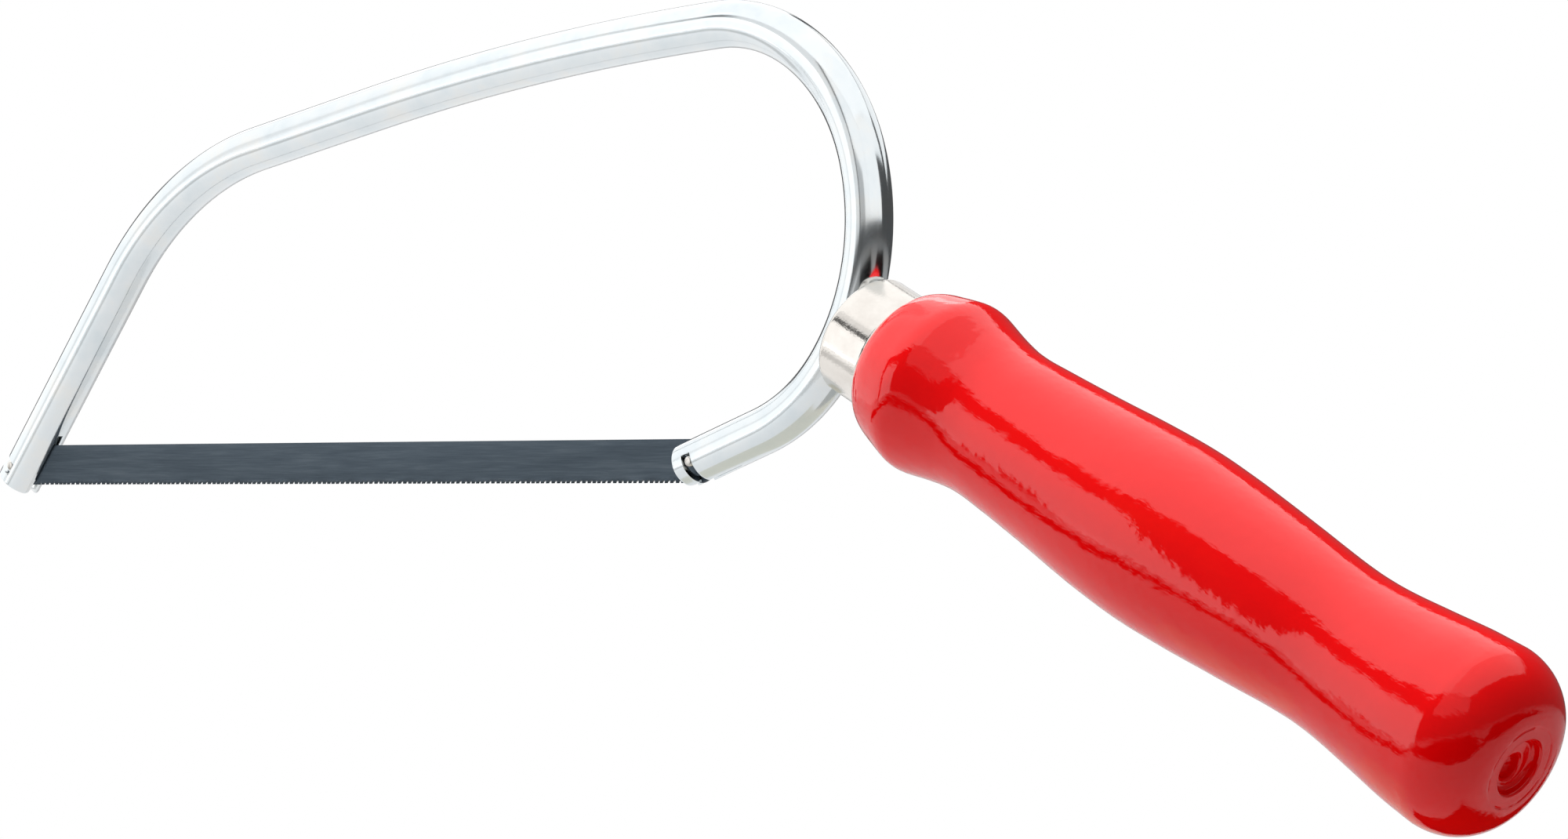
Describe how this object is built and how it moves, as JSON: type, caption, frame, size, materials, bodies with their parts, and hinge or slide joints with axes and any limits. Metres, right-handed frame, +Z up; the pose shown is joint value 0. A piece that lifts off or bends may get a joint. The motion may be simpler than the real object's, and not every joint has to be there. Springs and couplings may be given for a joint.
{
  "type": "mini hacksaw",
  "caption": "Small hand hacksaw with a sprung round-tube bow, a fine-toothed pin-ended blade and a turned, lacquered wooden handle set at a slant.",
  "frame": {"origin": "centre of the saw's bounding box; the blade's plane and the bow's plane are y = 0", "axes": "+X along the blade from the front end towards the handle, +Z up across the blade towards the back of the bow, Y through the saw's thickness"},
  "size_m": [0.3008, 0.027, 0.1154],
  "materials": {
    "zinc_plate": "bright bluish zinc plate with fine lengthwise drawing marks",
    "blued_steel": "dark blue-grey with fine lengthwise grain",
    "pin_steel": "bright cut wire",
    "nickel_plate": "warm satin nickel",
    "red_lacquered_wood": "thick gloss red lacquer over turned beech",
    "screw_steel": "bright steel"
  },
  "bodies": {
    "frame": {"bow_tube": "zinc_plate", "ferrule": "nickel_plate", "handle": "red_lacquered_wood", "handle_screw": "screw_steel"},
    "blade": {"saw_blade": "blued_steel", "front_blade_pin": "pin_steel", "rear_blade_pin": "pin_steel"}
  },
  "joints": [
    {"name": "blade_swing", "type": "hinge", "parent": "frame", "child": "blade", "pos_m": [0.00492, 0, -0.0087], "axis": [0, -1, 0], "range_deg": [0, 60], "deforming": ["bow_tube"]}
  ]
}
